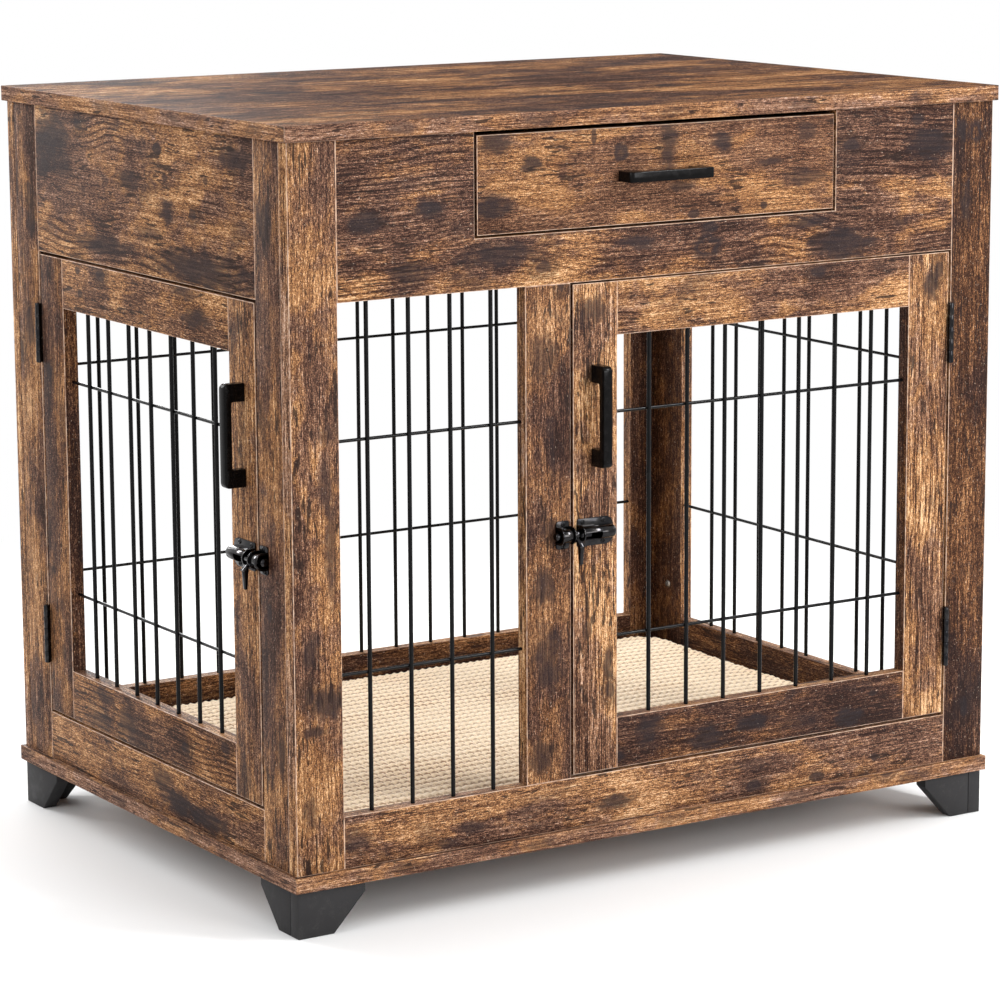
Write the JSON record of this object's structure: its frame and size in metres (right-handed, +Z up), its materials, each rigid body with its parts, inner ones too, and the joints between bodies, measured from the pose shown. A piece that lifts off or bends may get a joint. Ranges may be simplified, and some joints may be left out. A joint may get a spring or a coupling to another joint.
{
  "type": "dog crate end table",
  "caption": "Rustic-brown board cabinet used as an end table and a dog crate, with black wire panels, a hinged front door, a hinged side door, a drawer and a soft pad.",
  "frame": {"origin": "on the floor, under the middle of the whole object's box, with its projecting handles", "axes": "+X along the drawer side from the side door to the fixed side, +Y from the drawer side to the back, +Z up"},
  "size_m": [0.833, 0.61, 0.75],
  "materials": {
    "rustic_board": "rustic brown laminate with charcoal smudges",
    "drawer_lining": "plain brown laminate",
    "black_leg": "matte black paint",
    "black_wire": "glossy black coating",
    "black_handle": "satin black",
    "gunmetal": "black nickel with bright edges",
    "pad_fabric": "beige bubble-knit fleece"
  },
  "bodies": {
    "cabinet": {"base_board": "rustic_board", "top_board": "rustic_board", "front_left_leg": "black_leg", "front_right_leg": "black_leg", "back_left_leg": "black_leg", "back_right_leg": "black_leg", "front_left_stile": "rustic_board", "front_centre_stile": "rustic_board", "front_right_stile": "rustic_board", "front_apron": "rustic_board", "front_bottom_rail": "rustic_board", "front_wire_grid": "black_wire", "left_front_stile": "rustic_board", "left_rear_stile": "rustic_board", "left_apron": "rustic_board", "left_bottom_rail": "rustic_board", "right_front_stile": "rustic_board", "right_rear_stile": "rustic_board", "right_apron": "rustic_board", "right_bottom_rail": "rustic_board", "right_wire_grid": "black_wire", "back_left_stile": "rustic_board", "back_right_stile": "rustic_board", "back_apron": "rustic_board", "back_bottom_rail": "rustic_board", "back_wire_grid": "black_wire", "drawer_shelf": "rustic_board", "sleeping_pad": "pad_fabric", "front_lower_hinge_frame_leaf": "gunmetal", "front_upper_hinge_frame_leaf": "gunmetal", "side_lower_hinge_frame_leaf": "gunmetal", "side_upper_hinge_frame_leaf": "gunmetal", "front_bolt_keeper": "gunmetal", "side_bolt_keeper": "gunmetal"},
    "drawer": {"drawer_front": "rustic_board", "drawer_wrap": "drawer_lining", "drawer_bottom": "drawer_lining", "drawer_handle": "black_handle"},
    "front_door": {"front_door_free_stile": "rustic_board", "front_door_hinge_stile": "rustic_board", "front_door_top_rail": "rustic_board", "front_door_bottom_rail": "rustic_board", "front_door_wire_grid": "black_wire", "front_door_handle": "black_handle", "front_lower_hinge_door_leaf": "gunmetal", "front_upper_hinge_door_leaf": "gunmetal", "front_bolt_housing": "gunmetal"},
    "front_bolt": {"front_bolt_rod": "gunmetal"},
    "front_bolt_turning_lever": {"front_bolt_lever": "gunmetal"},
    "side_door": {"side_door_free_stile": "rustic_board", "side_door_hinge_stile": "rustic_board", "side_door_top_rail": "rustic_board", "side_door_bottom_rail": "rustic_board", "side_door_wire_grid": "black_wire", "side_door_handle": "black_handle", "side_lower_hinge_door_leaf": "gunmetal", "side_upper_hinge_door_leaf": "gunmetal", "side_bolt_housing": "gunmetal"},
    "side_bolt": {"side_bolt_rod": "gunmetal"},
    "side_bolt_turning_lever": {"side_bolt_lever": "gunmetal"}
  },
  "joints": [
    {"name": "drawer_slide", "type": "slide", "parent": "cabinet", "child": "drawer", "axis": [0, -1, 0], "range_m": [0, 0.3]},
    {"name": "front_door_swing", "type": "hinge", "parent": "cabinet", "child": "front_door", "pos_m": [0.361, -0.2862, 0.349], "axis": [0, 0, 1], "range_deg": [0, 180]},
    {"name": "front_bolt_slide", "type": "slide", "parent": "front_door", "child": "front_bolt", "axis": [1, 0, 0], "range_m": [0, 0.022]},
    {"name": "front_bolt_turn", "type": "hinge", "parent": "front_bolt", "child": "front_bolt_turning_lever", "pos_m": [-0.0915, -0.2895, 0.349], "axis": [-1, 0, 0], "range_deg": [0, 40]},
    {"name": "side_door_swing", "type": "hinge", "parent": "cabinet", "child": "side_door", "pos_m": [-0.3977, 0.2335, 0.349], "axis": [0, 0, -1], "range_deg": [0, 180]},
    {"name": "side_bolt_slide", "type": "slide", "parent": "side_door", "child": "side_bolt", "axis": [0, 1, 0], "range_m": [0, 0.022]},
    {"name": "side_bolt_turn", "type": "hinge", "parent": "side_bolt", "child": "side_bolt_turning_lever", "pos_m": [-0.401, -0.219, 0.349], "axis": [0, 1, 0], "range_deg": [0, 40]}
  ]
}
